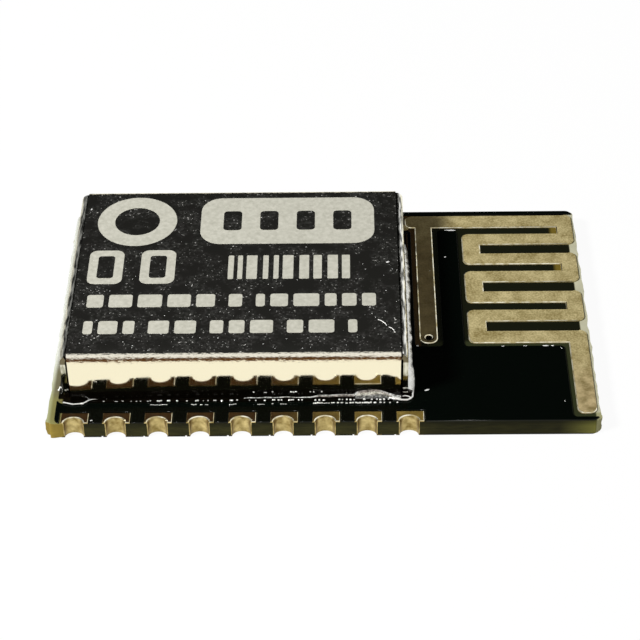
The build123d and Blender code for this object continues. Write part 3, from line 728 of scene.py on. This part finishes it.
can_finishes = [can_metal, bend_metal, fold_metal, top_metal, sheared_edge, flux_glaze_and_shade]
smooth_piece(finish_piece(can, "folded_can", can_finishes, "can_sheet", "shield_can"), 35)


# Solder round the can's foot: it has crept up the front wall near the right end and all along
# the right wall, and is a thin skin under dark flux elsewhere. Small balls of it lie in front.
board_top = can_low.z

# Tin solder, reflowed: bright metal that froze lumpy, so it glints in points and streaks.
solder, tree, shader, place = new_material("reflowed_tin_solder", {"Metallic": 0.72})
lumps = mottle(tree, place, 9000.0, 4.0)
speckle = mottle(tree, place, 20000.0, 2.0)
mixed_lumps = combine(tree, "MULTIPLY", combine(tree, "ADD", lumps, speckle), 0.5)
along_x = add_node(tree, "ShaderNodeSeparateXYZ", {0: place}).outputs["X"]
# Painted shade and light: the base is greyer along the front run and lighter along the right wall, and near
# white on the lumps' crests as painted glints.
side_shaded_solder = blend(tree, between(tree, along_x, 2.85 * MM, 3.0 * MM), "7C7C76", "DADAD6")
painted_glint_share = between(tree, mixed_lumps, 0.42, 0.58)
paint(tree, shader, painted_glint_share, side_shaded_solder, "FFFFFC")
tree.links.new(between(tree, lumps, 0.3, 0.7, 0.05, 0.12), shader.inputs["Roughness"])
roughen(tree, shader, mixed_lumps, 0.45, 0.018 * MM)

# Solder frozen in a clean drop: bright and smooth, with a near white, partly matt base that is a
# painted glint, so the drops show white.
drop_with_painted_glint, tree, shader, place = new_material("solder_drop_painted_glint", {"Metallic": 0.5, "Roughness": 0.08})
paint(tree, shader, mottle(tree, place, 4000.0), "F0F0EC", "FFFFFC")


def solder_run(
    name, node, start, along, outward, stations, lump, clear_from, belly=(0.45, 0.36), steep_from=0.0
):
    """A run of solder in the corner at a wall's foot.

    Each station is its distance from the start, its width on the board and its height on the
    wall, in millimetres. The solder is under flux up to clear_from, its steep lower face up to
    steep_from, and bare after that. The belly is where its face bends, as shares of the width
    and the height.
    """
    run = bmesh.new()
    at, width, height = stations[0]
    rise = Vector((0, 0, height * MM))
    bend = start + outward * width * belly[0] * MM + rise * belly[1]
    profile = (start, start + outward * width * MM, bend, start + rise)
    end_face = run.faces.new([run.verts.new(point) for point in profile])
    while at < stations[-1][0] - 1e-6:
        next_at = min(at + 0.06, stations[-1][0])
        last, coming = next(pair for pair in zip(stations, stations[1:]) if next_at <= pair[1][0] + 1e-6)
        share = (next_at - last[0]) / (coming[0] - last[0])
        spot = start + along * next_at * MM
        next_width = (last[1] + (coming[1] - last[1]) * share) * (1 + lump * noise.noise(spot * 3500))
        swell = 1 + lump * noise.noise(spot * 2600 + Vector((7, 0, 0)))
        next_height = (last[2] + (coming[2] - last[2]) * share) * swell
        made = bmesh.ops.extrude_face_region(run, geom=[end_face])["geom"]
        moved = only(bmesh.types.BMVert, made)
        end_face = only(bmesh.types.BMFace, made)[0]
        bmesh.ops.translate(run, vec=along * (next_at - at) * MM, verts=moved)
        factors = Vector((1, 1, next_height / height))
        factors[0 if abs(outward.x) > 0.5 else 1] = next_width / width
        bmesh.ops.scale(run, vec=factors, space=Matrix.Translation(-spot), verts=moved)
        at, width, height = next_at, next_width, next_height
    bmesh.ops.recalc_face_normals(run, faces=run.faces)
    for face in run.faces:
        reached = (face.calc_center_median() - start).dot(along)
        fluxed_to = max(steep_from, clear_from) if face.normal.dot(outward) > 0.9 else clear_from
        if reached < fluxed_to * MM:
            face.material_index = 1
    smooth_piece(finish_piece(run, name, [solder, flux_glaze_and_shade], "solder", node), 60)


front_foot = Vector((can_low.x + can_bend, can_low.y, board_top))
solder_run(
    "solder_front", "shield_solder_front", front_foot, Vector((1, 0, 0)), Vector((0, -1, 0)),
    ((0.0, 0.05, 0.02), (6.3, 0.03, 0.02), (6.5, 0.03, 0.05), (6.8, 0.02, 0.03), (7.1, 0.04, 0.06),
     (7.4, 0.03, 0.04), (7.9, 0.04, 0.07), (8.2, 0.02, 0.03), (8.7, 0.04, 0.06), (9.0, 0.06, 0.13),
     (10.25, 0.07, 0.17), (10.4, 0.08, 0.30), (10.6, 0.07, 0.36), (11.2, 0.07, 0.36), (11.5, 0.07, 0.24),
     (11.75, 0.08, 0.12), (11.96, 0.08, 0.08)),
    0.15, 6.3, (0.96, 0.70), 10.3,
)
right_foot = Vector((can_high.x, can_low.y + can_bend, board_top))
solder_run(
    "solder_right", "shield_solder_right", right_foot, Vector((0, 1, 0)), Vector((1, 0, 0)),
    ((0.0, 0.22, 0.16), (0.9, 0.24, 0.18), (1.4, 0.22, 0.15), (3.2, 0.21, 0.14), (4.8, 0.20, 0.15),
     (5.6, 0.23, 0.18), (7.6, 0.22, 0.18), (8.6, 0.12, 0.10)),
    0.2, 0.0, (0.90, 0.40),
)
back_foot = Vector((can_low.x + can_bend, can_high.y, board_top))
solder_run(
    "solder_back", "shield_solder_back", back_foot, Vector((1, 0, 0)), Vector((0, 1, 0)),
    ((0.0, 0.12, 0.20), (5.0, 0.13, 0.28), (11.2, 0.12, 0.22)),
    0.3, 0.0,
)
left_foot = Vector((can_low.x, can_low.y + can_bend, board_top))
solder_run(
    "solder_left", "shield_solder_left", left_foot, Vector((0, 1, 0)), Vector((-1, 0, 0)),
    ((0.0, 0.16, 0.12), (1.2, 0.15, 0.14), (4.0, 0.12, 0.20), (9.46, 0.12, 0.20)),
    0.3, 1.2,
)
give_material(flux_glaze_and_shade, "shield_land")


def bead(shape, path, radius):
    """Lay a thin round bead along a path, whose points are in millimetres like the radius."""
    points = [Vector(point) * MM for point in path]
    heading = (points[1] - points[0]).normalized()
    first_ring = Matrix.Translation(points[0]) @ heading.to_track_quat("Z", "Y").to_matrix().to_4x4()
    ring = bmesh.ops.create_circle(shape, cap_ends=True, segments=8, radius=radius * MM, matrix=first_ring)
    end_face = ring["verts"][0].link_faces[0]
    for here, there in zip(points, points[1:]):
        next_heading = (there - here).normalized()
        turned = heading.rotation_difference(next_heading).to_matrix()
        heading = next_heading
        made = bmesh.ops.extrude_face_region(shape, geom=[end_face])["geom"]
        moved = only(bmesh.types.BMVert, made)
        end_face = only(bmesh.types.BMFace, made)[0]
        bmesh.ops.rotate(shape, cent=here, matrix=turned, verts=moved)
        bmesh.ops.translate(shape, vec=there - here, verts=moved)


# The solder's outer edge drew up into a thin ridge at the front left and round the right corner.
ridges = bmesh.new()
ridge_z = board_top / MM + 0.05
bead(ridges, [(x, y, ridge_z) for x, y in (
    (-9.40, -5.11), (-9.28, -5.14), (-9.02, -5.22), (-8.77, -5.19), (-8.67, -5.17), (-8.56, -5.09),
    (-8.46, -4.99),
)], 0.026)
bead(ridges, [(x, y, ridge_z) for x, y in (
    (-8.50, -5.02), (-8.36, -4.96), (-8.22, -4.94), (-8.02, -4.93), (-7.83, -4.93),
)], 0.015)
bead(ridges, [(x, y, ridge_z) for x, y in (
    (2.44, -4.98), (2.60, -5.05), (2.85, -5.10), (3.02, -5.10), (3.13, -5.03), (3.20, -4.92),
    (3.23, -4.5), (3.24, -3.6),
)], 0.036)
bead(ridges, [(x, y, ridge_z) for x, y in (
    (2.84, -4.90), (2.94, -4.88), (3.06, -4.91), (3.14, -4.99),
)], 0.022)
for x, y, radius, stretch in (
    (-8.70, -5.18, 0.045, 1.8), (2.60, -5.02, 0.07, 2.4), (2.44, -4.98, 0.05, 2.0),
    (-9.57, -4.30, 0.045, 1.3), (-9.61, -4.44, 0.045, 1.0),
):
    blob = Matrix.Translation(Vector((x, y, ridge_z)) * MM) @ Matrix.Diagonal((stretch, 1, 0.8, 1))
    bmesh.ops.create_icosphere(ridges, subdivisions=2, radius=radius * MM, matrix=blob)
bmesh.ops.recalc_face_normals(ridges, faces=ridges.faces)
smooth_piece(finish_piece(ridges, "solder_ridges", [drop_with_painted_glint], "solder"), 60)

# Solder balls thrown off by the flux. They lie in rows, at the land's edge, at the mask's and on
# the can's front wall. Each row has its place and its height over the board, and each entry is a
# ball's place along the board, its length, and its size from 0 to 3.
ball_rows = (
    (-4.91, 0.29, (
        (-2.52, 0.07, 2), (-2.10, 0.12, 0), (-1.84, 0.07, 2), (-1.08, 0.26, 2), (-0.48, 0.05, 2),
        (-0.36, 0.05, 2), (-0.07, 0.05, 2),
    )),
    (-5.06, 0.03, (
        (-7.93, 0.06, 1), (-7.48, 0.12, 0), (-7.24, 0.07, 1), (-6.94, 0.04, 1), (-6.75, 0.06, 1),
        (-6.60, 0.04, 1), (-6.34, 0.06, 1), (-6.25, 0.05, 2), (-5.92, 0.19, 3), (-5.59, 0.12, 3),
        (-5.28, 0.08, 3), (-4.93, 0.06, 2), (-4.57, 0.13, 3), (-4.34, 0.03, 1), (-4.17, 0.05, 2),
        (-3.92, 0.12, 2), (-3.67, 0.09, 3), (-3.33, 0.13, 3), (-3.12, 0.07, 3), (-2.67, 0.04, 1),
        (-2.45, 0.06, 2), (-2.12, 0.09, 3), (-1.80, 0.12, 3), (-1.62, 0.04, 3), (-1.52, 0.04, 3),
        (-1.17, 0.22, 3), (-0.90, 0.07, 3), (-0.78, 0.07, 3), (-0.30, 0.07, 3), (-0.16, 0.05, 3),
        (0.00, 0.11, 2), (0.56, 0.09, 3), (0.67, 0.04, 2), (0.83, 0.07, 3), (0.96, 0.09, 3), (1.09, 0.07, 2),
        (1.46, 0.11, 3), (1.73, 0.07, 3), (1.91, 0.07, 3), (2.04, 0.09, 3), (2.17, 0.09, 3), (2.33, 0.07, 2),
    )),
    (-5.23, 0.03, (
        (-0.21, 0.36, 3), (0.10, 0.25, 1), (0.33, 0.14, 2), (0.51, 0.09, 2), (0.65, 0.11, 2), (0.82, 0.11, 2),
        (1.01, 0.18, 3), (1.23, 0.21, 3), (1.44, 0.18, 3), (1.62, 0.21, 3), (1.84, 0.11, 3), (2.04, 0.09, 3),
        (2.18, 0.05, 2), (2.38, 0.05, 2), (2.65, 0.07, 3),
    )),
    (-5.26, 0.03, (
        (-6.10, 0.30, 0), (-5.77, 0.30, 0), (-4.67, 0.21, 1), (-4.40, 0.10, 1), (-4.21, 0.12, 0),
        (-3.27, 0.27, 0), (-2.25, 0.27, 0), (-1.84, 0.07, 1), (-1.45, 0.24, 0),
    )),
)
ball_sizes = (0.013, 0.018, 0.028, 0.037)
ball_dice = random.Random(9)
balls = bmesh.new()
for row_y, row_height, row_balls in ball_rows:
    for at_x, length, size in row_balls:
        count = max(1, round(length / 0.075))
        for number in range(count):
            x = at_x + ((number + 0.5) / count - 0.5) * length
            y = row_y + ball_dice.uniform(-0.015, 0.015)
            radius = ball_sizes[size] * ball_dice.uniform(0.85, 1.1)
            spot = Matrix.Translation(Vector((x, y, board_top / MM + row_height + radius * 0.5)) * MM)
            stretch = Matrix.Diagonal((max(1.0, length / count / radius * 0.5), 1, 0.8, 1))
            bmesh.ops.create_icosphere(balls, subdivisions=2, radius=radius * MM, matrix=spot @ stretch)
smooth_piece(finish_piece(balls, "solder_balls", [drop_with_painted_glint], "solder"), 60)


# Marking: the can's top is marked by laser, which roughens the plating to a pale matt field. The
# fields are plain shapes: a ring, a rounded plate, two frames, and bars for the lines of words.

# Laser marked plating: pale warm grey, matt, with the fine grain of the beam's passes.
laser_mark, tree, shader, place = new_material("laser_marked_plating", {"Roughness": 0.75})
paint(tree, shader, mottle(tree, place, 7000.0), "9A998B", "CFCDC0")


def rounded_field(shape, left, right, front, back, radius):
    """A flat rounded rectangle on the can's top, from its sides in millimetres."""
    corners = bmesh.ops.create_grid(shape, x_segments=1, y_segments=1, size=0.5)["verts"]
    bmesh.ops.scale(shape, vec=((right - left) * MM, (back - front) * MM, 1), verts=corners)
    middle = Vector(((left + right) / 2, (front + back) / 2, 0)) * MM
    bmesh.ops.translate(shape, vec=middle, verts=corners)
    bmesh.ops.bevel(
        shape, geom=corners, offset=radius * MM, affect="VERTICES", segments=8, profile=0.5, material=-1
    )


def raise_fields(shape, low, high):
    """Give flat fields their thickness between two heights over the can's top."""
    bmesh.ops.translate(shape, vec=(0, 0, can_high.z + low), verts=shape.verts)
    made = bmesh.ops.extrude_face_region(shape, geom=shape.faces[:])["geom"]
    bmesh.ops.translate(shape, vec=(0, 0, high - low), verts=only(bmesh.types.BMVert, made))
    bmesh.ops.recalc_face_normals(shape, faces=shape.faces)


fields = bmesh.new()
bare_fields = bmesh.new()
rounded_field(fields, -4.72, 1.92, 1.66, 4.54, 0.80)
for left in (-3.85, -2.45, -1.05, 0.35):
    rounded_field(bare_fields, left, left + 0.70, 2.50, 3.70, 0.16)
for left in (-8.80, -6.85):
    rounded_field(fields, left, left + 1.30, -0.70, 1.30, 0.30)
    rounded_field(bare_fields, left + 0.34, left + 0.96, -0.36, 0.96, 0.12)
bar_dice = random.Random(4)
mark_rows = (
    (-3.57, 0.98, -0.46, 0.94, (0.14, 0.42), (0.14, 0.24), 0.04),
    (-8.68, 1.92, -2.06, -1.34, (0.30, 0.95), (0.20, 0.20), 0.10),
    (-8.69, 1.72, -3.56, -2.84, (0.30, 0.95), (0.20, 0.20), 0.10),
)
for row_left, row_right, front, back, widths, gaps, radius in mark_rows:
    left = row_left
    while row_right - left > widths[0]:
        right = min(left + bar_dice.uniform(*widths), row_right)
        rounded_field(fields, left, right, front, back, radius)
        left = right + bar_dice.uniform(*gaps) + (0.30 if bar_dice.random() < 0.2 else 0)
for radius in (1.52, 0.86):
    bmesh.ops.create_circle(
        fields, segments=64, radius=radius * MM, matrix=Matrix.Translation((-7.16 * MM, 3.10 * MM, 0))
    )
bmesh.ops.bridge_loops(fields, edges=[edge for edge in fields.edges if edge.is_wire])
raise_fields(fields, -0.002 * MM, 0.003 * MM)
finish_piece(fields, "laser_fields", [laser_mark], "can_sheet")
raise_fields(bare_fields, 0.002 * MM, 0.005 * MM)
finish_piece(bare_fields, "bare_fields", [top_metal], "can_sheet")


# Dust and splashes: white flecks on the black mask and on the can's top, and two curled fibres.
# Three of the flecks on the mask are painted highlights: glints on the mask's edges.

# Paper dust, and the painted highlights on the mask: white and matt.
white_dust_and_glints, tree, shader, place = new_material("white_paper_dust_and_painted_glints", {"Roughness": 0.6})
paint(tree, shader, mottle(tree, place, 8000.0), "C8C8C2", "FFFFFF")

mask_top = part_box("top_solder_mask")[1].z / MM
can_top = can_high.z / MM
# Painted highlights, not dust: the fleck at (4.95, 4.93) by the antenna's first arm, and the two at (8.78,
# -2.26) and (8.66, -5.16) at the mask window's corners.
flecks_and_glints = (
    (4.69, 3.23, mask_top, 0.045, 1.3, 20), (3.73, -4.52, mask_top, 0.045, 2.4, 25),
    (3.46, -2.07, mask_top, 0.035, 1.5, 0), (4.07, 2.37, mask_top, 0.022, 1.0, 0),
    (3.59, 1.82, mask_top, 0.022, 1.0, 0), (4.95, 4.93, mask_top, 0.045, 5.5, 0),
    (8.78, -2.26, mask_top, 0.018, 3.0, -60), (8.66, -5.16, mask_top, 0.014, 3.5, -70),
    (6.62, -2.12, mask_top, 0.016, 5.0, 0), (7.45, -2.11, mask_top, 0.014, 7.0, 0),
    (8.20, -2.11, mask_top, 0.028, 5.0, 0), (8.45, -2.11, mask_top, 0.028, 2.5, 0),
    (2.40, 0.49, can_top, 0.040, 2.0, 25), (-9.0, 3.9, can_top, 0.03, 1.6, 70),
    (-8.30, -6.03, mask_top, 0.022, 2.4, 15),
)
dust_and_glint_shape = bmesh.new()
for x, y, z, radius, stretch, angle in flecks_and_glints:
    spot = Matrix.Translation(Vector((x, y, z)) * MM) @ Matrix.Rotation(math.radians(angle), 4, "Z")
    shape = spot @ Matrix.Diagonal((stretch, 1, 0.25, 1))
    bmesh.ops.create_icosphere(dust_and_glint_shape, subdivisions=1, radius=radius * MM, matrix=shape)
fleck_dice = random.Random(21)
for number in range(120):
    x = fleck_dice.uniform(can_low.x / MM + 0.4, can_high.x / MM - 0.3)
    y = fleck_dice.triangular(can_low.y / MM + 0.4, can_high.y / MM - 0.4, can_low.y / MM + 0.4)
    radius = fleck_dice.uniform(0.006, 0.019)
    spot = Matrix.Translation((x * MM, y * MM, can_high.z)) @ Matrix.Diagonal((1.3, 1, 0.25, 1))
    bmesh.ops.create_icosphere(dust_and_glint_shape, subdivisions=1, radius=radius * MM, matrix=spot)
fibre_z = can_top + 0.004
for fibre in (
    ((1.98, -2.86), (2.10, -2.93), (2.22, -3.05), (2.28, -3.20)),
    ((2.36, -3.28), (2.46, -3.34), (2.54, -3.45), (2.58, -3.60)),
):
    bead(dust_and_glint_shape, [(x, y, fibre_z) for x, y in fibre], 0.010)
bmesh.ops.recalc_face_normals(dust_and_glint_shape, faces=dust_and_glint_shape.faces)
finish_piece(dust_and_glint_shape, "dust_flecks_and_painted_glints", [white_dust_and_glints], "can_sheet")
